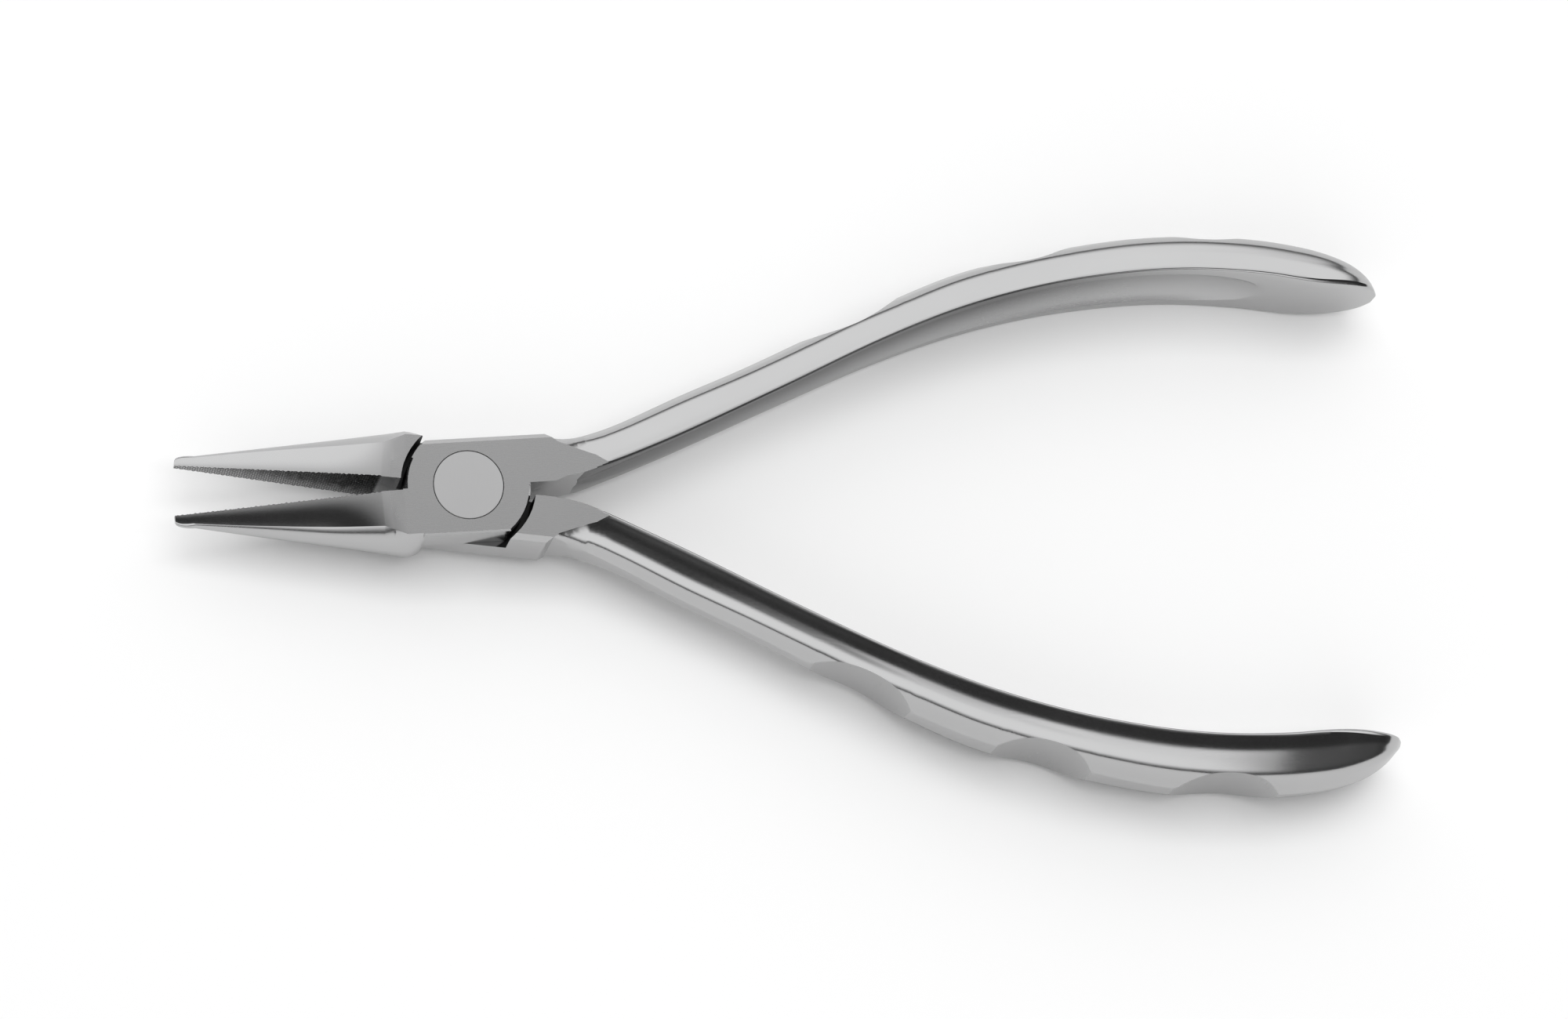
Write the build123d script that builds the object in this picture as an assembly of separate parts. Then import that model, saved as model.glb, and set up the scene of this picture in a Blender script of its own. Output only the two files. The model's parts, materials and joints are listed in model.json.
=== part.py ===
"""Slim needle-nose pliers with a lap joint, forged in stainless steel.

Two halves of one forging cross at a lap joint, the second turned over on its long
axis, and a rivet with a large flush head holds them. Each half is a jaw, a cheek half
as thick as the joint, and a fluted handle on the other side of the pivot.

Frame: the origin is on the pivot axis, in the plane of the joint's flat back face. +X
runs towards the handle ends, +Y towards the front half's handle and +Z out of the
front face. The model stands with its jaws open by REST_OPENING. A half is drawn
closed, about the joint's middle plane, with its own cheek at +Z and its own handle at
+Y. Millimetres and degrees.
"""
import os
from math import cos, radians, sin

from build123d import *

# overall
JAW_REACH = 33.1  # pivot axis to jaw tips
HANDLE_REACH = 110.9  # pivot axis to handle ends
JOINT_THICK = 8.7
JOINT_HALF_WIDTH = 5.67
REST_OPENING = 9.75  # angle between the jaws as the model stands
JAW_SET = 0.85  # the closed jaws point this far off the handles' centre line
HALF_THICK = JOINT_THICK / 2

# lap joint
CHEEK_RADIUS = 7.15
SHOULDER_GAP = 0.6  # between a cheek's round edge and the other half's shoulder
SHOULDER_RADIUS = CHEEK_RADIUS + SHOULDER_GAP
LAP_GAP = 0.06  # between the two cheeks' mating faces
SPLIT_OFFSET = 0.2  # the root's own side reaches this far past the closing plane
SPLIT_GAP = 0.2  # left between the two handle roots when closed
CREST_BEVEL = 0.6
EDGE_BEVEL = 0.2

# handle root, beyond the cheek
ROOT_END = CHEEK_RADIUS + 2.25  # where the joint's straight sides stop
ROOT_SHOULDER = (1.2, 1.0)  # then the plate runs this far out and in
ROOT_POINT = (4.3, 1.3)  # how far past ROOT_END the plate ends, and its height there
ROOT_INNER_RUN = 0.7
ROOT_CUTBACK = 1.5  # the root's far corner, over the cheek, is cut back by this

# jaws
JAW_FULL_WIDTH_AT = CHEEK_RADIUS + 2.85  # as thick as the joint from here inwards
JAW_TIP_WIDTH = 0.9
JAW_TIP_DEPTH = 0.85
JAW_NOSE = 2.2  # length of the rounded nose at the tip
JAW_NOSE_DEPTH = 1.55
HEEL_AT = CHEEK_RADIUS + 0.35
HEEL_DEPTH = JOINT_HALF_WIDTH + 0.83
HEEL_ROUND = 2.15
HEEL_BASE = JOINT_HALF_WIDTH - 0.2
HEEL_FLANK = JOINT_HALF_WIDTH - 0.42
HEEL_STEPS = 5  # sections round the heel's corner
FLANK_SHARE = 0.68  # a jaw's flank takes this share of its depth
NOSE_FLANK_SHARE = 0.8
FLANK_FALL = 0.14  # the flank leans in by this share of its height, once it is full
FLANK_FALL_FULL_AT = 17.0
JAW_STATIONS = 5
GRIP_GAP = 0.08  # between the two grip faces when closed

# serrations
TOOTH_PITCH = 0.65
TOOTH_DEPTH = 0.16
TOOTH_ANGLE = 45
GROOVE_SHARE = 0.8  # a groove takes this share of the pitch
TOOTH_FIELD_END = SHOULDER_RADIUS + 2.05

# rivet
HEAD_RADIUS = 4.07
HEAD_THICK = 1.5
SHANK_RADIUS = 2.6
TAIL_FLARE = 0.9  # the tail is wider than the shank by this
TAIL_THICK = 0.9
RUNNING_GAP = 0.03
TAIL_GAP = 0.04
HEAD_EDGE = 0.08
TAIL_RADIUS = SHANK_RADIUS + TAIL_FLARE

# handle, as curves along X: (X, value), drawn for the sizes that follow them
HANDLE_START = 7.0
INNER_EDGE = [(7, 0.35), (10, 0.35), (12.5, 0.55), (15, 1.15), (19, 2.4), (26, 4.9), (38, 9.6),
              (50, 14.3), (60, 17.45), (70, 19.5), (80, 20.45), (88, 20.45), (96, 19.6),
              (104, 18.15), (111.3, 17.75)]
OUTER_EDGE = [(7, 4.8), (9.5, 4.95), (12, 5.2), (15, 5.9), (19, 7.25), (26, 10.05), (34, 13.0),
              (41, 15.8), (47, 18.25), (53, 20.4), (60, 22.7), (68, 24.4), (76, 25.6), (83, 26.2),
              (90, 26.15), (97, 25.5), (102, 24.5), (105, 23.5), (107.8, 22.1), (109.8, 20.5),
              (111.3, 18.6)]
HALF_WIDTH = [(7, 5.6), (10, 5.4), (12, 5.05), (14.5, 4.6), (17, 4.3), (21, 4.15), (28, 4.2),
              (38, 4.55), (50, 5.65), (60, 6.4), (78, 6.8), (95, 6.65), (103, 6.2), (106.5, 5.75),
              (109, 4.7), (110.5, 3.2), (111.3, 1.4)]
STRIP_HALF_WIDTH = [(7, 5.2), (9.5, 4.6), (12, 2.7), (14.5, 1.9), (19, 1.3), (36, 1.0), (50, 1.4),
                    (62, 2.0), (76, 1.9), (86, 1.5), (97, 0.8), (111.3, 0.3)]
DRAWN_REACH = 111.3
DRAWN_HALF_THICK = 4.35
DRAWN_JOINT_HALF_WIDTH = 5.67
NECK = (20.0, 60.0)  # the joint's own sizes fade out of the handle between these
EDGE_ROUND = 0.25
EDGE_ROUND_SHARE = 0.15  # and never more than this share of the section
BULGE = [(0.42, 0.9), (0.8, 0.62)]  # a side's (share of the depth, share of the width)
HANDLE_STATIONS = [7, 9, 11, 13, 15, 18, 22, 27, 33, 40, 47, 54, 61, 68, 75, 82, 89, 95, 100,
                   104, 107, 109.2, 110.6, 111.3]
LAND_END = 24.0  # the joint's flat faces are ground no further than this

# flute along the inner face: (X, depth)
FLUTE_RADIUS = 8.0
FLUTE_DEPTH = [(12, -0.2), (16, 0.25), (25, 0.6), (38, 0.95), (50, 1.35), (65, 1.75), (80, 1.85),
               (90, 1.55), (95, 0.85), (99, -0.3)]

# finger cuts across the outer edge: (start X, end X)
FINGER_CUTS = [(41.2, 53.1), (63.3, 74.4), (84.6, 97.0)]
FINGER_HOLLOW = 1.3

# cutters and filling blocks
PAST = 1.0  # a cutter reaches this far past the metal
WIDE = 30.0  # larger than any section
NEAR = 0.01
OVERLAP = 0.2


def stretch(x):
    """A station along the handle, for the reach that is asked for."""
    share = (x - HANDLE_START) / (DRAWN_REACH - HANDLE_START)
    return HANDLE_START + share * (HANDLE_REACH - HANDLE_START)


def neck(x):
    """1 beside the joint, 0 along the handle."""
    share = min(max((NECK[1] - x) / (NECK[1] - NECK[0]), 0), 1)
    return share * share * (3 - 2 * share)


def along(curve, x):
    """Value at x of the smooth curve through (x, value) points."""
    last = len(curve) - 1
    slopes = []
    for i in range(last + 1):
        before = curve[max(i - 1, 0)]
        after = curve[min(i + 1, last)]
        slopes.append((after[1] - before[1]) / (after[0] - before[0]))
    i = max(k for k in range(last) if curve[k][0] <= x or k == 0)
    (x0, v0), (x1, v1) = curve[i], curve[i + 1]
    span = x1 - x0
    t = (x - x0) / span
    rise = slopes[i] * span * (t - 2 * t**2 + t**3)
    land = slopes[i + 1] * span * (t**3 - t**2)
    return v0 + (v1 - v0) * (3 * t**2 - 2 * t**3) + rise + land


def inner_edge(x):
    return along(INNER_EDGE, x)


def outer_edge(x):
    return along(OUTER_EDGE, x) + neck(x) * (JOINT_HALF_WIDTH - DRAWN_JOINT_HALF_WIDTH)


def half_width(x):
    return along(HALF_WIDTH, x) + neck(x) * (HALF_THICK - DRAWN_HALF_THICK)


def block(x0, x1, y0, y1, z0, z1):
    """A box given by its limits."""
    middle = ((x0 + x1) / 2, (y0 + y1) / 2, (z0 + z1) / 2)
    return Pos(*middle) * Box(x1 - x0, y1 - y0, z1 - z0)


def rod(radius, z0, z1):
    """A cylinder on the pivot axis."""
    return Pos(0, 0, (z0 + z1) / 2) * Cylinder(radius, z1 - z0)


def jaw_section(x, depth, width, flank, fall):
    """Flat grip at y = 0, flanks that lean in by fall, and an arched back."""
    y = -GRIP_GAP / 2
    ridge = width - fall
    edges = [Edge.make_line(Vector(x, y, -width), Vector(x, y, width))]
    for side in (1, -1):
        grip = Vector(x, y, side * width)
        middle = Vector(x, y - flank / 2, side * (width - fall / 4))
        edges.append(Edge.make_three_point_arc(grip, middle, Vector(x, y - flank, side * ridge)))
    front_ridge = Vector(x, y - flank, ridge)
    back_ridge = Vector(x, y - flank, -ridge)
    edges.append(Edge.make_three_point_arc(front_ridge, Vector(x, y - depth, 0), back_ridge))
    return Wire(edges)


def jaw_width(x):
    """Half width of a jaw, x being its distance from the pivot axis."""
    taper = (x - JAW_FULL_WIDTH_AT) / (JAW_REACH - JAW_FULL_WIDTH_AT)
    tip = JAW_TIP_WIDTH / 2
    return HALF_THICK + max(taper, 0) * (tip - HALF_THICK)


def jaw_depth(x):
    """Depth of a jaw from its grip, between the heel and the nose."""
    nose_at = JAW_REACH - JAW_NOSE
    share = (x - HEEL_AT) / (nose_at - HEEL_AT)
    return HEEL_DEPTH + share * (JAW_NOSE_DEPTH - HEEL_DEPTH)


def flank_fall(x, flank):
    """How far a flank of this height leans in, growing from the heel to its full share."""
    share = min((x - HEEL_AT) / (FLANK_FALL_FULL_AT - HEEL_AT), 1)
    return FLANK_FALL * flank * (NEAR + share * share * (3 - 2 * share))


def jaw_sections():
    """Sections from the nose to the heel's corner."""
    nose_at = JAW_REACH - JAW_NOSE
    tip_flank = JAW_TIP_DEPTH * NOSE_FLANK_SHARE
    tip_fall = FLANK_FALL * tip_flank
    sections = [jaw_section(-JAW_REACH, JAW_TIP_DEPTH, JAW_TIP_WIDTH / 2, tip_flank, tip_fall)]
    for step in range(JAW_STATIONS + 1):
        x = nose_at + (JAW_FULL_WIDTH_AT - nose_at) * step / JAW_STATIONS
        share = NOSE_FLANK_SHARE + (FLANK_SHARE - NOSE_FLANK_SHARE) * step / JAW_STATIONS
        flank = jaw_depth(x) * share
        sections.append(jaw_section(-x, jaw_depth(x), jaw_width(x), flank, flank_fall(x, flank)))
    for step in range(HEEL_STEPS + 1):
        turn = radians(90 * step / HEEL_STEPS)
        x = HEEL_AT - HEEL_ROUND * sin(turn)
        depth = HEEL_BASE + (HEEL_DEPTH - HEEL_BASE) * cos(turn)
        sections.append(jaw_section(-x, depth, HALF_THICK, HEEL_FLANK, flank_fall(HEEL_AT, 1)))
    return sections


def tooth_cuts():
    """Parallel V grooves that slant across the grip."""
    step = TOOTH_PITCH / cos(radians(TOOTH_ANGLE))
    count = int((JAW_REACH - TOOTH_FIELD_END + JOINT_THICK) / step) + 2
    wide = TOOTH_PITCH * GROOVE_SHARE
    profile = Face(Wire.make_polygon([
        Vector(-wide, TOOTH_DEPTH, 0),
        Vector(wide, TOOTH_DEPTH, 0),
        Vector(0, -TOOTH_DEPTH, 0),
    ]))
    groove = Solid.extrude(profile, Vector(0, 0, WIDE)).moved(Pos(0, 0, -WIDE / 2))
    turned = Rot(0, TOOTH_ANGLE, 0) * groove
    middle = -(JAW_REACH + TOOTH_FIELD_END) / 2
    places = [middle + (i - count / 2) * step for i in range(count + 1)]
    return [Pos(x, -GRIP_GAP / 2, 0) * turned for x in places]


def jaw():
    """Tapering jaw with a serrated grip, drawn along -X below y = 0."""
    blank = Solid.make_loft(jaw_sections(), ruled=True)
    field = block(-JAW_REACH - PAST, -TOOTH_FIELD_END, -PAST, PAST, -HALF_THICK - PAST, HALF_THICK + PAST)
    cuts = [cut & field for cut in tooth_cuts()]
    return Part() + blank - [cut for cut in cuts if cut.volume > 0]


def bevelled(body, wanted, size):
    """The body with a bevel on the edges whose middles are wanted."""
    chosen = [edge for edge in body.edges() if wanted(edge @ 0.5)]
    return chamfer(chosen, size)


def lower_notch():
    """Cutter round the pivot that makes room for the other half's cheek."""
    return rod(SHOULDER_RADIUS, -HALF_THICK - PAST, LAP_GAP / 2)


def cheek():
    """Half-thickness plate round the pivot, with the own side of the handle root."""
    low = LAP_GAP / 2
    crest = JOINT_HALF_WIDTH - CREST_BEVEL
    disc = rod(CHEEK_RADIUS, low, HALF_THICK)
    disc &= block(-WIDE, WIDE, -JOINT_HALF_WIDTH, crest, low, HALF_THICK)
    return bevelled(disc, lambda p: p.Z > HALF_THICK - NEAR and p.Y < crest - NEAR, EDGE_BEVEL)


def root_outline(inner):
    """Plan of the straight-sided root that joins cheek and handle."""
    return Face(Wire.make_polygon([
        Vector(-CHEEK_RADIUS, JOINT_HALF_WIDTH, 0),
        Vector(ROOT_END, JOINT_HALF_WIDTH, 0),
        Vector(ROOT_END + ROOT_SHOULDER[0], JOINT_HALF_WIDTH - ROOT_SHOULDER[1], 0),
        Vector(ROOT_END + ROOT_POINT[0], ROOT_POINT[1], 0),
        Vector(ROOT_END + ROOT_INNER_RUN, inner, 0),
        Vector(0, inner, 0),
        Vector(-CHEEK_RADIUS, JOINT_HALF_WIDTH - ROOT_CUTBACK, 0),
    ]))


def root(side):
    """The handle root on one side of the lap: +1 is the cheek's own side."""
    inner = -SPLIT_OFFSET / 2 if side > 0 else SPLIT_OFFSET / 2 + SPLIT_GAP
    low = LAP_GAP / 2 if side > 0 else -HALF_THICK
    high = HALF_THICK if side > 0 else LAP_GAP / 2
    body = Solid.extrude(root_outline(inner), Vector(0, 0, high - low)).moved(Pos(0, 0, low))
    face_z = side * HALF_THICK

    def on_crest(p):
        return abs(p.Z - face_z) < NEAR and p.Y > JOINT_HALF_WIDTH - NEAR

    body = bevelled(body, on_crest, CREST_BEVEL)
    if side > 0:
        return body & (rod(CHEEK_RADIUS, low, high) + block(0, WIDE, -PAST, WIDE, low, high))
    return body - lower_notch() - block(-WIDE, 0, -WIDE, WIDE, low - PAST, high)


def handle_section(x):
    """Flat inner face, bulging sides that close in to a narrow outer strip."""
    inner = inner_edge(x)
    outer = outer_edge(x)
    wide = half_width(x)
    strip = along(STRIP_HALF_WIDTH, x)
    thick = outer - inner
    edge = min(EDGE_ROUND, thick * EDGE_ROUND_SHARE, wide * EDGE_ROUND_SHARE)
    at = stretch(x)

    def side(sign):
        points = [Vector(at, inner + edge, sign * wide)]
        for up, out in BULGE:
            points.append(Vector(at, inner + up * thick, sign * (strip + out * (wide - strip))))
        return points + [Vector(at, outer, sign * strip)]

    front = side(1)
    back = side(-1)[::-1]
    low_front = Vector(at, inner, wide - edge)
    low_back = Vector(at, inner, edge - wide)
    edges = [
        Edge.make_line(low_back, low_front),
        Edge.make_line(low_front, front[0]),
        Edge.make_spline(front),
        Edge.make_line(front[-1], back[0]),
        Edge.make_spline(back),
        Edge.make_line(back[-1], low_back),
    ]
    return Wire(edges)


def flute():
    """Cutter for the long hollow in the handle's inner face."""
    rings = []
    for x, depth in FLUTE_DEPTH:
        centre = inner_edge(x) + depth - FLUTE_RADIUS
        plane = Plane(origin=(stretch(x), centre, 0), x_dir=(0, 1, 0), z_dir=(1, 0, 0))
        rings.append(Wire.make_circle(FLUTE_RADIUS, plane))
    return Solid.make_loft(rings, ruled=False)


def finger_cut(start, end):
    """Cutter for one shallow finger hollow, straight through across the outer edge."""
    first = Vector(stretch(start), outer_edge(start), 0)
    last = Vector(stretch(end), outer_edge(end), 0)
    run = last - first
    out = Vector(-run.Y, run.X, 0).normalized()
    middle = (first + last) * 0.5 - out * FINGER_HOLLOW
    clear = out * FINGER_HOLLOW * 3
    edges = [
        Edge.make_three_point_arc(first, middle, last),
        Edge.make_line(last, last + clear),
        Edge.make_line(last + clear, first + clear),
        Edge.make_line(first + clear, first),
    ]
    return Solid.extrude(Face(Wire(edges)), Vector(0, 0, WIDE)).moved(Pos(0, 0, -WIDE / 2))


def handle():
    """Handle with its flute and finger cuts, its root ground flat with the joint."""
    body = Part() + Solid.make_loft([handle_section(x) for x in HANDLE_STATIONS], ruled=False)
    body -= block(0, LAND_END, -WIDE, WIDE, HALF_THICK, WIDE)
    body -= block(0, LAND_END, -WIDE, WIDE, -WIDE, -HALF_THICK)
    body -= lower_notch()
    body -= flute()
    for start, end in FINGER_CUTS:
        body -= finger_cut(start, end)
    return body


def web():
    """The own side's metal between jaw and cheek, filled out to the closing plane."""
    low = LAP_GAP / 2
    heel_end = HEEL_AT - HEEL_ROUND
    side = block(-heel_end - OVERLAP, 0, -JOINT_HALF_WIDTH, -PAST, low, HALF_THICK)
    side = bevelled(side, lambda p: p.Z > HALF_THICK - NEAR and p.Y < NEAR - JOINT_HALF_WIDTH, EDGE_BEVEL)
    return side + block(-HEEL_AT, 0, PAST - JOINT_HALF_WIDTH, -GRIP_GAP / 2, low, HALF_THICK)


def half(jaw_set):
    """One forging, closed, with its cheek at +Z and its handle at +Y."""
    nose = Rot(0, 0, jaw_set) * jaw() - lower_notch()
    return nose + web() + cheek() + root(1) + root(-1) + handle()


def rivet():
    """Pivot rivet: flush head in front, shank, and a flared tail behind."""
    profile = Face(Wire.make_polygon([
        Vector(0, 0, -HALF_THICK),
        Vector(TAIL_RADIUS, 0, -HALF_THICK),
        Vector(SHANK_RADIUS, 0, TAIL_THICK - HALF_THICK),
        Vector(SHANK_RADIUS, 0, HALF_THICK - HEAD_THICK),
        Vector(HEAD_RADIUS, 0, HALF_THICK - HEAD_THICK),
        Vector(HEAD_RADIUS, 0, HALF_THICK - HEAD_EDGE),
        Vector(HEAD_RADIUS - HEAD_EDGE, 0, HALF_THICK),
        Vector(0, 0, HALF_THICK),
    ]))
    return revolve(profile, axis=Axis.Z)


def head_seat():
    """What is bored out of the front half: the rivet is pressed in."""
    seat = rod(HEAD_RADIUS, HALF_THICK - HEAD_THICK, HALF_THICK + PAST)
    return seat + rod(SHANK_RADIUS, -PAST, HALF_THICK)


def tail_seat():
    """What is bored out of the rear half, in place: the rivet turns in it."""
    bore = SHANK_RADIUS + RUNNING_GAP
    flare = TAIL_RADIUS + TAIL_GAP
    depth = TAIL_THICK + TAIL_GAP
    cone = Face(Wire.make_polygon([
        Vector(0, 0, -HALF_THICK),
        Vector(flare, 0, -HALF_THICK),
        Vector(bore, 0, depth - HALF_THICK),
        Vector(0, 0, depth - HALF_THICK),
    ]))
    return revolve(cone, axis=Axis.Z) + rod(bore, -HALF_THICK - PAST, PAST)


def main():
    os.makedirs("parts", exist_ok=True)
    lift = Pos(0, 0, HALF_THICK)
    front = half(JAW_SET) - head_seat()
    rear = Rot(180, 0, 0) * half(-JAW_SET) - tail_seat()
    nodes = {
        "front_half": lift * Rot(0, 0, REST_OPENING / 2) * front,
        "rear_half": lift * Rot(0, 0, -REST_OPENING / 2) * rear,
        "pivot_rivet": lift * rivet(),
    }
    for name, node in nodes.items():
        export_step(node, f"parts/{name}.step")


main()
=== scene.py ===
"""Slim needle-nose lap-joint pliers in satin steel, lying open on a pale floor."""
import json
from math import cos, floor, pi, radians, sin, sqrt

import bmesh
import bpy
from mathutils import Euler, Matrix, Vector


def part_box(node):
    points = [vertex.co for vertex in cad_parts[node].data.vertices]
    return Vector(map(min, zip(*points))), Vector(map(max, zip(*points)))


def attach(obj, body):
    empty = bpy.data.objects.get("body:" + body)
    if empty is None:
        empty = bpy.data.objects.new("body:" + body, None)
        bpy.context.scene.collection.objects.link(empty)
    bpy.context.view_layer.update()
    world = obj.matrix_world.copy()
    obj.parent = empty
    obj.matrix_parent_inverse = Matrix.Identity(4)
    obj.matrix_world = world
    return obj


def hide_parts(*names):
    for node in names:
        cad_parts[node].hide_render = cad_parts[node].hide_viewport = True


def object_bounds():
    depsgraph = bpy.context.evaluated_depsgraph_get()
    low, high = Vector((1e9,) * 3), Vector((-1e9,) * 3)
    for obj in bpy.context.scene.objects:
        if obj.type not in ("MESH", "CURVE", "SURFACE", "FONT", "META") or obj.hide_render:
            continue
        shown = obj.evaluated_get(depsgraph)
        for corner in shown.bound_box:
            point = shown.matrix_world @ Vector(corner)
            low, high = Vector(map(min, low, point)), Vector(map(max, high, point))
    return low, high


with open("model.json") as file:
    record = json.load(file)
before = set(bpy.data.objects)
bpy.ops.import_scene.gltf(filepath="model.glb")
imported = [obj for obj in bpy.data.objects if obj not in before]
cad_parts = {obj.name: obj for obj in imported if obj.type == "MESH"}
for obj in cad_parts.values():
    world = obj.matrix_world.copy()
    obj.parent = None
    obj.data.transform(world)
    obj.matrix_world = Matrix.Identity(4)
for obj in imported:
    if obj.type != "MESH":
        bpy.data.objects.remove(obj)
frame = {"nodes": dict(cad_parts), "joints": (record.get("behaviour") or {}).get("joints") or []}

CAD_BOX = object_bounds()
MM = 0.001

# camera
AIM = Vector((37.2, -0.7, 4.35)) * MM
CAMERA_TURN = (16.30, -10.655, -1.581)
CAMERA_DISTANCE = 707.8 * MM
CAMERA_LENS = 141.14

# how a half stands in the open pliers
OPENING = -frame["joints"][0]["range_deg"][0]
HALF_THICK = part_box("pivot_rivet")[1][2] / MM / 2
CREASE = radians(22)  # edges sharper than this stay crisp
GROUND_CREASE = radians(2)  # and round the ground faces, sharper than this
FLAT = 0.9995  # a face is flat if its normal is this near to the pivot axis
INWARD = -0.7  # a face belongs to the flute if its normal's Y is below this
FLUTE_REACH = 2  # and it lies within this of the handle's inner edge
ROUND_THE_PIVOT = 0.9  # a wall faces the pivot if its normal is this near to the radius
NEAR = 0.01  # a hair, to tell whether a face lies on a surface
DOUBLES = 0.001  # drawn points this near are one
WELD = 0.0001  # and the design's own points, this near
LAP_WALL = (6.9, 8.1)  # radii between which the walls round the cheeks lie
LAP_DEPTH = 0.2  # the lap's own faces lie this near to the joint's middle plane

# handle, in millimetres along X from the pivot: (X, value)
SEAM = 14.0  # the handle is drawn from here on
SEAM_GAP = 0.3  # bridged between the design's joint and each drawn part
LAND_END = 24.0  # the joint's flat faces are ground into the handle up to here
DRAWN_FROM = 7.0  # the curves are stretched from here
DRAWN_REACH = 111.3  # to the handle's reach, from this
INNER_EDGE = [(10, 0.35), (12.5, 0.55), (15, 1.15), (19, 2.4), (26, 4.9), (38, 9.6), (50, 14.3),
              (60, 17.45), (70, 19.5), (80, 20.45), (88, 20.45), (96, 19.6), (104, 18.15),
              (111.3, 17.75)]
OUTER_EDGE = [(9.5, 4.95), (12, 5.2), (15, 5.9), (19, 7.25), (26, 10.05), (34, 13.0), (41, 15.8),
              (47, 18.25), (53, 20.4), (60, 22.7), (68, 24.4), (76, 25.6), (83, 26.2), (90, 26.15),
              (97, 25.5), (102, 24.5), (105, 23.5), (107.8, 22.1), (109.8, 20.5), (111.3, 18.6)]
HALF_WIDTH = [(10, 5.4), (12, 5.05), (14.5, 4.6), (17, 4.3), (21, 4.15), (28, 4.2), (38, 4.55),
              (50, 5.65), (60, 6.4), (78, 6.8), (95, 6.65), (103, 6.2), (106.5, 5.75), (109, 4.7),
              (110.5, 3.2), (111.3, 1.4)]
STRIP_HALF_WIDTH = [(9.5, 4.6), (12, 2.7), (14.5, 1.9), (19, 1.3), (36, 1.0), (50, 1.4), (62, 2.0),
                    (76, 1.9), (86, 1.5), (97, 0.8), (111.3, 0.3)]
EDGE_ROUND = [(12, 0.25), (80, 0.22), (100, 0.35), (107, 0.6), (111.3, 0.25)]
EDGE_ROUND_SHARE = 0.3  # and never more than this share of the section
BULGE = [(0.42, 0.9), (0.8, 0.62)]  # a side's (share of the depth, share of the width)
FLUTE_START = 13.0  # the joint's own inward faces are part of the flute from here on
FLUTE_RADIUS = 8.0
FLUTE_DEPTH = [(12, -0.2), (16, 0.25), (25, 0.6), (38, 0.95), (50, 1.35), (65, 1.75), (80, 1.85),
               (90, 1.55), (95, 0.85), (99, -0.3), (112, -0.3)]
FLUTE_LEAST_SHARE = 0.3  # the flute's mouth is at least this share of the half width
LEAST_LIP = 0.1  # and leaves at least this much lip beside it
FINGER_CUTS = [(41.2, 53.1), (63.3, 74.4), (84.6, 97.0)]
FINGER_HOLLOW = 1.3
CUT_SKIN = 0.05  # a face this near to the cut's surface is part of it

# how finely the handle is drawn
STATIONS = 200
CROWDING = 1.4  # above 1, stations crowd towards the handle's end
CORNER_STEPS = 5
LIP_STEPS = 3
FLUTE_STEPS = 20
LAND_STEPS = 6
SIDE_STEPS = 20
HALVINGS = 20  # of the search for the ground land's edge
STRIP_STEPS = 8

# jaw, in millimetres from the pivot towards the tip
JAW_SEAM = 8.8  # the jaw is drawn from here on
JAW_SET = 0.85  # degrees that the closed jaw points off the handle's centre line
HEEL = 7.5
FULL_WIDTH_AT = 10.0  # as thick as the joint from here inwards
NOSE = 2.2  # length of the rounded end
HEEL_DEPTH = 6.5
NOSE_DEPTH = 1.55
TIP_DEPTH = 0.85
TIP_WIDTH = 0.9
HEEL_FLANK = 5.25
FLANK_SHARES = (0.68, 0.8)  # of the depth, at full width and at the nose
FLANK_FALL = 0.14  # how far the flank leans in, as a share of its height
FLANK_FALL_FULL_AT = 17.0
GRIP_GAP = 0.08
TOOTH_FIELD_END = 9.8  # the teeth stop here, beside the joint
TOOTH_PITCH = 0.4
TOOTH_DEPTH = 0.14
TOOTH_FACING = 0.3  # a face of the teeth has a normal with at least this much Y
GROOVE_DEPTH = "groove_depth"  # how far down a groove a point of the grip is, 0 to 1
JAW_STATIONS = 270
GRIP_STEPS = 80
FLANK_STEPS = 12
ARCH_STEPS = 20

# a half's material slots; the walls round the cheeks are near-black painted shade, and the lap
# face has a ring of painted shade
GROUND, SATIN, FLUTED, CUT, TEETH, LAP_EDGE_PAINTED_SHADE, LAP_FACE = range(7)


class Val:
    """A socket that can be used in arithmetic."""

    def __init__(self, tree, socket):
        self.tree = tree
        self.socket = socket

    def maths(self, operation, *others):
        values = dict(enumerate((self,) + others))
        return self.tree.add("ShaderNodeMath", dict(operation=operation), values)

    def __add__(self, other):
        return self.maths("ADD", other)

    __radd__ = __add__

    def __mul__(self, other):
        return self.maths("MULTIPLY", other)

    __rmul__ = __mul__

    def __sub__(self, other):
        return self.maths("SUBTRACT", other)

    def __rsub__(self, other):
        return self.maths("MULTIPLY", -1) + other

    def __neg__(self):
        return self.maths("MULTIPLY", -1)


class Tree:
    """A node tree, with one method that adds any node."""

    def __init__(self, owner):
        owner.use_nodes = True
        self.nodes = owner.node_tree.nodes
        self.links = owner.node_tree.links
        self.nodes.clear()

    def add(self, kind, settings, values, out=0):
        node = self.nodes.new(kind)
        for name, value in settings.items():
            setattr(node, name, value)
        for key, value in values.items():
            self.feed(node.inputs[key], value)
        return None if out is None else Val(self, node.outputs[out])

    def feed(self, socket, value):
        if isinstance(value, Val):
            self.links.new(value.socket, socket)
        else:
            socket.default_value = value

    def end_in(self, kind, surface):
        """Ends the tree in an output node."""
        self.add(kind, {}, {"Surface": surface}, out=None)

    def parts(self, vector):
        """X, Y and Z of a vector."""
        x = self.add("ShaderNodeSeparateXYZ", {}, {0: vector})
        return [Val(self, socket) for socket in x.socket.node.outputs]


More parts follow.
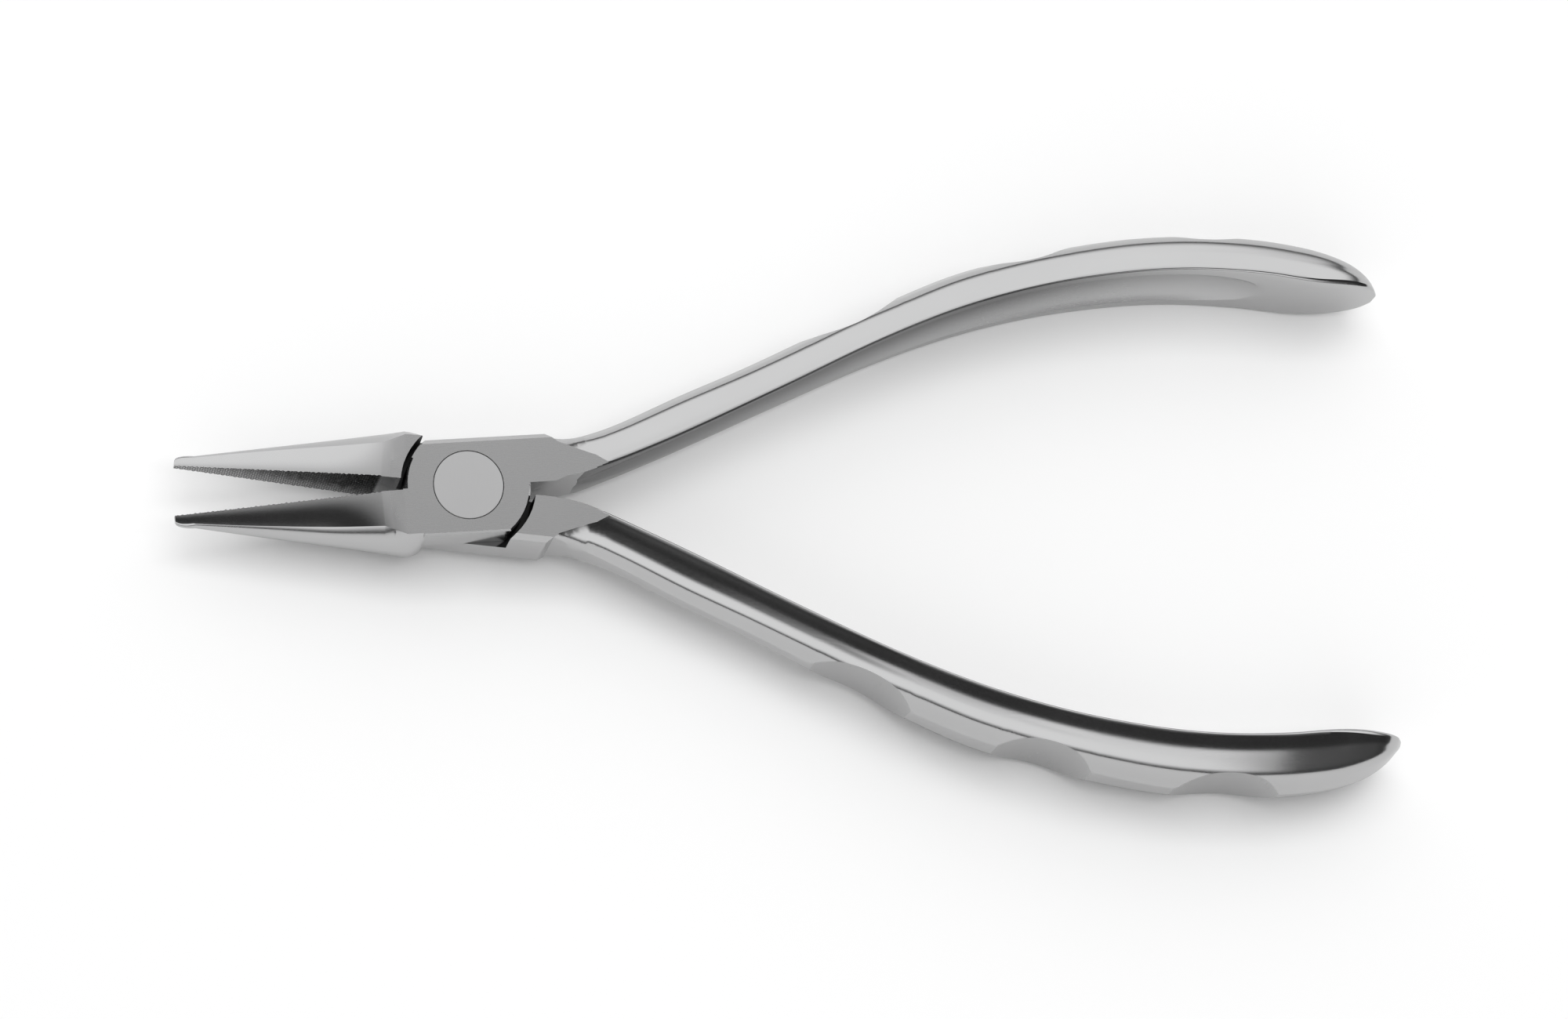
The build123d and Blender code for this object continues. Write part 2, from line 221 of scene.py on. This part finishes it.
def smoothstep(value, low, high):
    """0 below low, 1 above high, smooth between."""
    settings = dict(interpolation_type="SMOOTHSTEP")
    values = {0: value, 1: low, 2: high, 3: 0.0, 4: 1.0}
    return value.tree.add("ShaderNodeMapRange", settings, values)


# ---- meshes


def along(curve, x):
    """Value at x of the smooth curve through (x, value) points."""
    last = len(curve) - 1
    i = max(k for k in range(last) if curve[k][0] <= x or k == 0)

    def slope(k):
        before = curve[max(k - 1, 0)]
        after = curve[min(k + 1, last)]
        return (after[1] - before[1]) / (after[0] - before[0])

    (x0, v0), (x1, v1) = curve[i], curve[i + 1]
    span = x1 - x0
    t = (x - x0) / span
    bend = slope(i) * span * (t - 2 * t**2 + t**3) + slope(i + 1) * span * (t**3 - t**2)
    return v0 + (v1 - v0) * (3 * t**2 - 2 * t**3) + bend


def cut_height(x):
    """Height of the outer edge at x, where a finger cut may lower it."""
    height = along(OUTER_EDGE, x)
    for start, end in FINGER_CUTS:
        if not start < x < end:
            continue
        first = Vector((start, along(OUTER_EDGE, start)))
        last = Vector((end, along(OUTER_EDGE, end)))
        run = last - first
        out = Vector((-run.y, run.x)).normalized()
        radius = (run.length**2 / 4 + FINGER_HOLLOW**2) / (2 * FINGER_HOLLOW)
        centre = (first + last) / 2 + out * (radius - FINGER_HOLLOW)
        height = min(height, centre.y - sqrt(radius**2 - (x - centre.x)**2))
    return height


def land_height(side, low, high, limit):
    """Where a side's curve comes inside a limit on its width."""
    if along(side, low) <= limit:
        return low
    for _ in range(HALVINGS):
        middle = (low + high) / 2
        if along(side, middle) > limit:
            low = middle
        else:
            high = middle
    return low


def handle_section(x):
    """Points round the handle at x, from the back lip over the flute to the front, (y, z)."""
    inner = along(INNER_EDGE, x)
    outer = along(OUTER_EDGE, x)
    wide = along(HALF_WIDTH, x)
    strip = along(STRIP_HALF_WIDTH, x)
    thick = outer - inner
    limit = HALF_THICK if x < LAND_END else wide

    edge = min(along(EDGE_ROUND, x), thick * EDGE_ROUND_SHARE, wide * EDGE_ROUND_SHARE)
    lip = wide - edge
    depth = along(FLUTE_DEPTH, x)
    mouth = sqrt(max(FLUTE_RADIUS**2 - (FLUTE_RADIUS - max(depth, 0))**2, 0))
    mouth = min(max(mouth, wide * FLUTE_LEAST_SHARE), lip - LEAST_LIP)
    inside = [lip + (mouth - lip) * i / LIP_STEPS for i in range(LIP_STEPS)]
    inside += [mouth * (1 - 2 * i / FLUTE_STEPS) for i in range(FLUTE_STEPS // 2)]
    inside = [min(z, limit) for z in inside]
    points = []
    for z in [-z for z in inside] + [0] + inside[::-1]:
        hollow = depth - FLUTE_RADIUS + sqrt(FLUTE_RADIUS**2 - z**2)
        points.append((inner + max(hollow, 0), z))

    turns = [pi / 2 * i / CORNER_STEPS for i in range(1, CORNER_STEPS)]
    corner = [(inner + edge * (1 - cos(t)), min(lip + edge * sin(t), limit)) for t in turns]
    foot = inner + edge
    side = [(foot, wide)]
    side += [(inner + up * thick, strip + out * (wide - strip)) for up, out in BULGE]
    side.append((outer, strip))
    top = min(cut_height(x), outer)
    land = land_height(side, foot, top, limit)
    heights = [foot + (land - foot) * i / LAND_STEPS for i in range(LAND_STEPS)]
    heights += [land + (top - land) * sin(pi / 2 * i / SIDE_STEPS) for i in range(SIDE_STEPS + 1)]
    climb = [(y, min(along(side, y), limit)) for y in heights]
    across = climb[-1][1]
    crest = [(top, across * (1 - 2 * i / STRIP_STEPS)) for i in range(1, STRIP_STEPS)]
    front = corner + climb
    return points + front + crest + [(y, -z) for y, z in front[::-1]] + points[:1]


def wrapped_grid(rings):
    """A closed skin through rings of points, each given as (x, y, z) in millimetres."""
    around = len(rings[0]) - 1
    stations = len(rings) - 1
    bm = bmesh.new()
    bmesh.ops.create_grid(bm, x_segments=stations, y_segments=around, size=0.5)
    for vert in bm.verts:
        station = round((vert.co.x + 0.5) * stations)
        place = round((vert.co.y + 0.5) * around)
        vert.co = Vector(rings[station][place]) * MM
    bmesh.ops.remove_doubles(bm, verts=bm.verts, dist=DOUBLES * MM)
    tip = rings[-1][0][0] * MM
    end = [e for e in bm.edges if e.is_boundary and abs(e.verts[0].co.x - tip) < NEAR * MM]
    bmesh.ops.contextual_create(bm, geom=end)
    bmesh.ops.recalc_face_normals(bm, faces=bm.faces)
    return bm


def handle_mesh(reach):
    """The handle from its seam to its end, in the closed half's frame."""
    start = SEAM + SEAM_GAP
    stretch = (reach - DRAWN_FROM) / (DRAWN_REACH - DRAWN_FROM)
    rings = []
    for step in range(STATIONS + 1):
        x = start + (DRAWN_REACH - start) * (1 - (1 - step / STATIONS)**CROWDING)
        at = DRAWN_FROM + (x - DRAWN_FROM) * stretch
        rings.append([(at, y, z) for y, z in handle_section(x)])
    bm = wrapped_grid(rings)
    for face in bm.faces:
        middle = face.calc_center_median() / MM
        x = DRAWN_FROM + (middle.x - DRAWN_FROM) / stretch
        in_cut = cut_height(x) < along(OUTER_EDGE, x) - NEAR
        inside = middle.y < along(INNER_EDGE, x) + FLUTE_REACH and face.normal.y < INWARD
        if in_cut and middle.y > cut_height(x) - CUT_SKIN:
            face.material_index = CUT
        elif inside:
            face.material_index = FLUTED
        elif x < LAND_END and abs(face.normal.z) > FLAT:
            face.material_index = GROUND
        else:
            face.material_index = SATIN
    return bm


def groove(place):
    """0 on the ridges and 1 at the bottom of V grooves, one pitch apart."""
    share = place / TOOTH_PITCH
    return 1 - abs(2 * (share - floor(share)) - 1)


def jaw_ring(x, reach):
    """Points round the jaw at x, from the grip's back edge, (y, z)."""
    nose_at = reach - NOSE
    slope = (HEEL_DEPTH - NOSE_DEPTH) / (nose_at - HEEL)
    full_depth = HEEL_DEPTH - slope * (FULL_WIDTH_AT - HEEL)
    taper = max(x - FULL_WIDTH_AT, 0) / (reach - FULL_WIDTH_AT)
    width = HALF_THICK + taper * (TIP_WIDTH / 2 - HALF_THICK)
    depth = HEEL_DEPTH - slope * (x - HEEL)
    share = (x - FULL_WIDTH_AT) / (nose_at - FULL_WIDTH_AT)
    flank = depth * (FLANK_SHARES[0] + min(share, 1) * (FLANK_SHARES[1] - FLANK_SHARES[0]))
    if x < FULL_WIDTH_AT:
        full_flank = full_depth * FLANK_SHARES[0]
        flank = HEEL_FLANK + (full_flank - HEEL_FLANK) * (x - HEEL) / (FULL_WIDTH_AT - HEEL)
    if x > nose_at:
        round_off = sqrt(max(1 - ((x - nose_at) / NOSE)**2, 0))
        depth = TIP_DEPTH + (NOSE_DEPTH - TIP_DEPTH) * round_off
        flank = depth * FLANK_SHARES[1]
    lean = min((x - HEEL) / (FLANK_FALL_FULL_AT - HEEL), 1)
    fall = FLANK_FALL * flank * lean * lean * (3 - 2 * lean)
    top = -GRIP_GAP / 2

    grip = []
    for i in range(GRIP_STEPS + 1):
        z = width * (2 * i / GRIP_STEPS - 1)
        cut = max(groove((x + z) / sqrt(2)), groove((x - z) / sqrt(2)))
        cut *= TOOTH_DEPTH * min(max((x - TOOTH_FIELD_END) / TOOTH_PITCH, 0), 1)
        grip.append((top - cut, z))
    front = []
    for i in range(1, FLANK_STEPS + 1):
        down = i / FLANK_STEPS
        front.append((top - flank * down, width - fall * down**2))
    ridge = width - fall
    rise = depth - flank
    radius = (ridge**2 + rise**2) / (2 * rise)
    arch = []
    for i in range(1, ARCH_STEPS):
        z = ridge * cos(pi * i / ARCH_STEPS)
        arch.append((top - depth + radius - sqrt(radius**2 - z**2), z))
    back = [(y, -z) for y, z in front[::-1]]
    return grip + front + arch + back + grip[:1]


def jaw_mesh(reach, set_angle):
    """The jaw from its seam to its tip, in the closed half's frame."""
    start = JAW_SEAM + SEAM_GAP
    rings = []
    for step in range(JAW_STATIONS + 1):
        x = start + (reach - start) * step / JAW_STATIONS
        rings.append([(-x, y, z) for y, z in jaw_ring(x, reach)])
    bm = wrapped_grid(rings)
    groove_depth = bm.verts.layers.float.new(GROOVE_DEPTH)
    for vert in bm.verts:
        sunk = (-GRIP_GAP / 2 - vert.co.y / MM) / TOOTH_DEPTH
        vert[groove_depth] = min(max(sunk, 0), 1)
    for face in bm.faces:
        middle = face.calc_center_median() / MM
        in_field = middle.x < -TOOTH_FIELD_END
        in_field = in_field and middle.y > -GRIP_GAP / 2 - TOOTH_DEPTH - NEAR
        face.material_index = TEETH if in_field and face.normal.y > TOOTH_FACING else SATIN
    turn = Matrix.Rotation(radians(set_angle), 3, "Z")
    bmesh.ops.rotate(bm, verts=bm.verts, cent=(0, 0, 0), matrix=turn)
    return bm


def add_mesh(bm, extra):
    """Puts another bmesh into this one."""
    spare = bpy.data.meshes.new("spare")
    extra.to_mesh(spare)
    extra.free()
    bm.from_mesh(spare)
    bpy.data.meshes.remove(spare)


def cut_away(bm, place, towards):
    """Cuts off what lies past place along X."""
    bmesh.ops.bisect_plane(
        bm,
        geom=bm.verts[:] + bm.edges[:] + bm.faces[:],
        plane_co=(place * MM, 0, 0),
        plane_no=(towards, 0, 0),
        clear_outer=True,
        dist=WELD * MM,
    )


def joint_finish(face):
    """Ground on the outer flats, near-black on the walls round the cheeks as painted shade."""
    middle = face.calc_center_median() / MM
    flat = abs(face.normal.z) > FLAT
    if flat and abs(middle.z) > HALF_THICK - NEAR:
        return GROUND
    if flat and abs(middle.z) < LAP_DEPTH:
        return LAP_FACE
    away = middle.xy.length
    towards_pivot = abs(face.normal.xy.dot(middle.xy)) > ROUND_THE_PIVOT * away
    # the walls round the cheeks take the near-black painted shade of the gap
    if LAP_WALL[0] < away < LAP_WALL[1] and towards_pivot:
        return LAP_EDGE_PAINTED_SHADE
    in_flute = middle.x > FLUTE_START and face.normal.y < INWARD
    return FLUTED if in_flute else SATIN


def half(node, turned_over):
    """The forged half: its joint from the design, its handle and jaw drawn finely."""
    closed = Matrix.Rotation(radians(-OPENING / 2), 4, "Z")
    if turned_over:
        closed = Matrix.Rotation(pi, 4, "X") @ closed.inverted()
    closed = closed @ Matrix.Translation((0, 0, -HALF_THICK * MM))
    bm = bmesh.new()
    bm.from_mesh(frame["nodes"][node].data)
    bm.verts.layers.float.new(GROOVE_DEPTH)
    bmesh.ops.remove_doubles(bm, verts=bm.verts, dist=WELD * MM)
    bmesh.ops.transform(bm, matrix=closed, verts=bm.verts)
    handle_reach = max(v.co.x for v in bm.verts) / MM
    jaw_reach = -min(v.co.x for v in bm.verts) / MM
    cut_away(bm, SEAM, 1)
    cut_away(bm, -JAW_SEAM, -1)
    for face in bm.faces:
        face.material_index = joint_finish(face)
    add_mesh(bm, handle_mesh(handle_reach))
    add_mesh(bm, jaw_mesh(jaw_reach, -JAW_SET if turned_over else JAW_SET))
    for side in (1, -1):
        loops = [e for e in bm.edges if e.is_boundary and e.verts[0].co.x * side > 0]
        made = bmesh.ops.bridge_loops(bm, edges=loops)
        bmesh.ops.recalc_face_normals(bm, faces=bm.faces)
        for face in made["faces"]:
            face.material_index = joint_finish(face)
    bmesh.ops.recalc_face_normals(bm, faces=bm.faces)
    for edge in bm.edges:
        finishes = {face.material_index for face in edge.link_faces}
        bend = edge.calc_face_angle(0)
        edge.smooth = bend < (GROUND_CREASE if GROUND in finishes else CREASE)
    for face in bm.faces:
        face.smooth = True
    bmesh.ops.transform(bm, matrix=closed.inverted(), verts=bm.verts)
    return finish_mesh(bm, node.replace("half", "forging"))


def finish_mesh(bm, name):
    mesh = bpy.data.meshes.new(name)
    bm.to_mesh(mesh)
    bm.free()
    ob = bpy.data.objects.new(name, mesh)
    bpy.context.scene.collection.objects.link(ob)
    return ob


# ---- light and floor

FLOOR_HALF_SIZE = 1.2
FLOOR_CLEARANCE = 0.02  # in millimetres, below the pliers
FLOOR_TONE = 0.9
FLOOR_TONE_LOST_IN_STEEL = 0.2
LAMP_SIZE = 1.0
LAMP_POWER = 11
LAMP_PLACE = (0.05, 0.1, 1.2)

# the soft boxes in the sky, as parts of a direction of length 1
FAR_BOX_EDGE = (0.0, 0.55)  # in Y
FAR_BOX_ENDS = (0.6, 0.95)  # in X, both ways
NEAR_BOX_EDGE = (0.28, 0.48)  # in Y, towards the viewer
NEAR_BOX_END = (0.26, 0.42)  # in X
NEAR_BOX_LOSS = 0.95  # the share of its light that stops at its end
HORIZON = (0.03, 0.4)  # in Z
SKY_LEAST = 0.03  # everywhere


def studio_sky():
    """Two long soft boxes beside the bench, with a dark gap overhead between them."""
    world = bpy.data.worlds.new("studio")
    bpy.context.scene.world = world
    tree = Tree(world)
    ray = tree.add("ShaderNodeTexCoord", {}, {})
    x, y, z = tree.parts(ray)
    far_box = smoothstep(y, *FAR_BOX_EDGE) * (1 - smoothstep(x.maths("ABSOLUTE"), *FAR_BOX_ENDS))
    near_box = smoothstep(-y, *NEAR_BOX_EDGE)
    near_box = near_box * (1 - NEAR_BOX_LOSS * smoothstep(x, *NEAR_BOX_END))
    horizon = smoothstep(z, *HORIZON)
    light = (far_box + near_box) * horizon + SKY_LEAST
    values = {"Color": light, "Strength": 1.0}
    tree.end_in("ShaderNodeOutputWorld", tree.add("ShaderNodeBackground", {}, values))


def pale_floor():
    """A plain pale floor just under the pliers, a little darker where the steel reflects it."""
    bm = bmesh.new()
    bmesh.ops.create_grid(bm, x_segments=1, y_segments=1, size=FLOOR_HALF_SIZE)
    height = CAD_BOX[0][2] - FLOOR_CLEARANCE * MM
    bmesh.ops.translate(bm, verts=bm.verts, vec=(0, 0, height))
    piece = finish_mesh(bm, "floor")
    mat = bpy.data.materials.new("pale_floor")
    tree = Tree(mat)
    seen_in_steel = tree.add("ShaderNodeLightPath", {}, {}, out=3)
    pale = FLOOR_TONE - FLOOR_TONE_LOST_IN_STEEL * seen_in_steel
    colour = tree.add("ShaderNodeCombineColor", {}, {0: pale, 1: pale, 2: pale})
    values = {"Base Color": colour, "Roughness": 0.9, "Specular IOR Level": 0.0}
    tree.end_in("ShaderNodeOutputMaterial", tree.add("ShaderNodeBsdfPrincipled", {}, values))
    piece.data.materials.append(mat)


def lamps():
    """One broad lamp high overhead for the floor, left out of the steel's reflections."""
    lamp = bpy.data.lights.new("overhead", "AREA")
    lamp.shape = "SQUARE"
    lamp.size = LAMP_SIZE
    lamp.energy = LAMP_POWER
    ob = bpy.data.objects.new("overhead", lamp)
    ob.location = LAMP_PLACE
    ob.visible_glossy = False
    bpy.context.scene.collection.objects.link(ob)


def camera():
    """A long lens, looking down at the pliers from a little to the near left."""
    data = bpy.data.cameras.new("camera")
    data.lens = CAMERA_LENS
    data.sensor_width = 36
    data.clip_start = 0.01
    ob = bpy.data.objects.new("camera", data)
    turn = Euler([radians(a) for a in CAMERA_TURN])
    ob.rotation_euler = turn
    ob.location = AIM + turn.to_matrix() @ Vector((0, 0, CAMERA_DISTANCE))
    bpy.context.scene.collection.objects.link(ob)
    bpy.context.scene.camera = ob


# ---- steel

BROAD_SCALE = 90.0  # of the broad mottling, per metre
BROAD_IN_TONE = 0.05
BROAD_IN_ROUGH = 0.06
FINE_IN_ROUGH = 0.12
COOL = 1.005  # blue, as a share of red and green

# darkening, as (from, to) in millimetres and the share of light lost
SEAT_LINE = (0.16, 0.08)  # inside the edge of the rivet's head
SEAT_LINE_LOSS = 0.85
# a ring of painted shade in the gap round a cheek
GAP_INNER = (6.9, 7.1)  # from the pivot
GAP_OUTER = (7.9, 8.1)
GAP_PAINTED_SHADE = 0.9
# painted shade in the flute
FLUTE_DARK_FRONT = (-7, 1)  # along the pivot axis, from the joint's middle
FLUTE_DARK_END = (60, 92)  # along the handle
FLUTE_PAINTED_SHADE = 0.8
# painted shade in the grip's grooves and a painted highlight on their ridges
GROOVE_SIDES = (0.25, 0.85)  # shares of a groove's depth
RIDGE_PAINTED_HIGHLIGHT = 1.15  # the ridges are painted brighter than the steel round them, a painted highlight
GROOVE_PAINTED_SHADE = 0.95


def steel(name, grain, grain_depth=0.0006, streaks=0.02, tone=0.6, rough=0.2, shade_by=None):
    """Steel with a grain stretched along its polishing, in millimetres per grain."""
    mat = bpy.data.materials.new(name)
    tree = Tree(mat)
    place = tree.add("ShaderNodeTexCoord", {}, {}, out=3)
    per_metre = [1 / (g * MM) for g in grain]
    scaled = tree.add("ShaderNodeMapping", {}, {"Vector": place, "Scale": per_metre})
    noise = {"Vector": scaled, "Scale": 1.0, "Detail": 4.0, "Roughness": 0.6}
    fine = tree.add("ShaderNodeTexNoise", {}, noise)
    noise = {"Vector": place, "Scale": BROAD_SCALE, "Detail": 3.0}
    broad = tree.add("ShaderNodeTexNoise", {}, noise)
    shade = tone + (fine - 0.5) * streaks + (broad - 0.5) * BROAD_IN_TONE
    if shade_by:
        shade = shade * shade_by(tree, place)
    colour = tree.add("ShaderNodeCombineColor", {}, {0: shade, 1: shade, 2: shade * COOL})
    roughness = rough + (fine - 0.5) * FINE_IN_ROUGH + (broad - 0.5) * BROAD_IN_ROUGH
    height = {"Height": fine, "Strength": 1.0, "Distance": grain_depth * MM}
    bump = tree.add("ShaderNodeBump", {}, height)
    values = {"Base Color": colour, "Roughness": roughness, "Metallic": 1.0, "Normal": bump}
    tree.end_in("ShaderNodeOutputMaterial", tree.add("ShaderNodeBsdfPrincipled", {}, values))
    return mat


def from_pivot(tree, place):
    """Distance from the pivot axis."""
    x, y, _ = tree.parts(place)
    return (x * x + y * y).maths("SQRT")


def seat_line(tree, place):
    """Dark where the rivet's head meets its seat."""
    radius = from_pivot(tree, place)
    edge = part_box("pivot_rivet")[1][0]
    low, high = (edge - inside * MM for inside in SEAT_LINE)
    return 1 - SEAT_LINE_LOSS * smoothstep(radius, low, high)


def rivet_face():
    """Cross-brushed rivet, with a dark line where the head meets its seat."""
    brushed = (0.05, 2.0, 0.05)
    return steel("rivet_face", brushed, streaks=0.06, tone=0.86, rough=0.35, shade_by=seat_line)


def gap_painted_shade(tree, place):
    """Dark in the narrow gap round a cheek: a ring of painted shade on the lap face."""
    radius = from_pivot(tree, place)
    past_inner = smoothstep(radius, *(at * MM for at in GAP_INNER))
    past_outer = smoothstep(radius, *(at * MM for at in GAP_OUTER))
    return 1 - GAP_PAINTED_SHADE * (past_inner * (1 - past_outer))


def groove_painted_light(tree, place):
    """Painted shade at the bottom of the grip's grooves, and a painted highlight on their ridges.
    """
    depth = tree.add("ShaderNodeAttribute", dict(attribute_name=GROOVE_DEPTH), {}, out=2)
    return RIDGE_PAINTED_HIGHLIGHT - GROOVE_PAINTED_SHADE * smoothstep(depth, *GROOVE_SIDES)


def flute_painted_shade(tree, place):
    """Painted shade, darkest under the front lip, lighter towards the back and the handle's end.
    """
    x, _, z = tree.parts(place)
    front = smoothstep(z, *((HALF_THICK + at) * MM for at in FLUTE_DARK_FRONT))
    before_end = 1 - smoothstep(x, *(at * MM for at in FLUTE_DARK_END))
    return 1 - FLUTE_PAINTED_SHADE * front * before_end


def half_finishes():
    """The finishes of a half, in the order of its material slots."""
    even = (0.1, 0.1, 0.1)
    long = (3.0, 0.1, 0.1)
    deep = (0.1, 0.1, 4.0)
    return [
        steel("ground_face", (3.0, 0.05, 0.05), streaks=0.05, rough=0.28),
        steel("satin_steel", (0.4, 0.1, 0.1), rough=0.17),
        # the flute's dark part is painted shade
        steel("fluted_inside", long, streaks=0.05, tone=0.62, rough=0.25, shade_by=flute_painted_shade),
        steel("finger_cut", deep, grain_depth=0.001, streaks=0.05, tone=0.55, rough=0.3),
        # the grip's grooves carry painted shade and their ridges a painted highlight
        steel("serrated_grip", even, 0.002, streaks=0.1, rough=0.3, shade_by=groove_painted_light),
        # near-black walls round the cheeks: painted shade in the gap
        steel("lap_edge_painted_shade", even, tone=0.06, rough=0.45),
        # the dark ring round the cheek on the lap face is painted shade
        steel("lap_face", even, streaks=0.05, tone=0.5, rough=0.3, shade_by=gap_painted_shade),
    ]


def main():
    camera()
    studio_sky()
    lamps()
    pale_floor()
    finishes = half_finishes()
    for node, body, turned_over in (("front_half", "front", False), ("rear_half", "rear", True)):
        piece = half(node, turned_over)
        for finish in finishes:
            piece.data.materials.append(finish)
        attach(piece, body)
        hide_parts(node)
    rivet = frame["nodes"]["pivot_rivet"].data
    rivet.materials.clear()
    rivet.materials.append(rivet_face())
    bpy.context.scene.view_settings.view_transform = "Standard"


main()
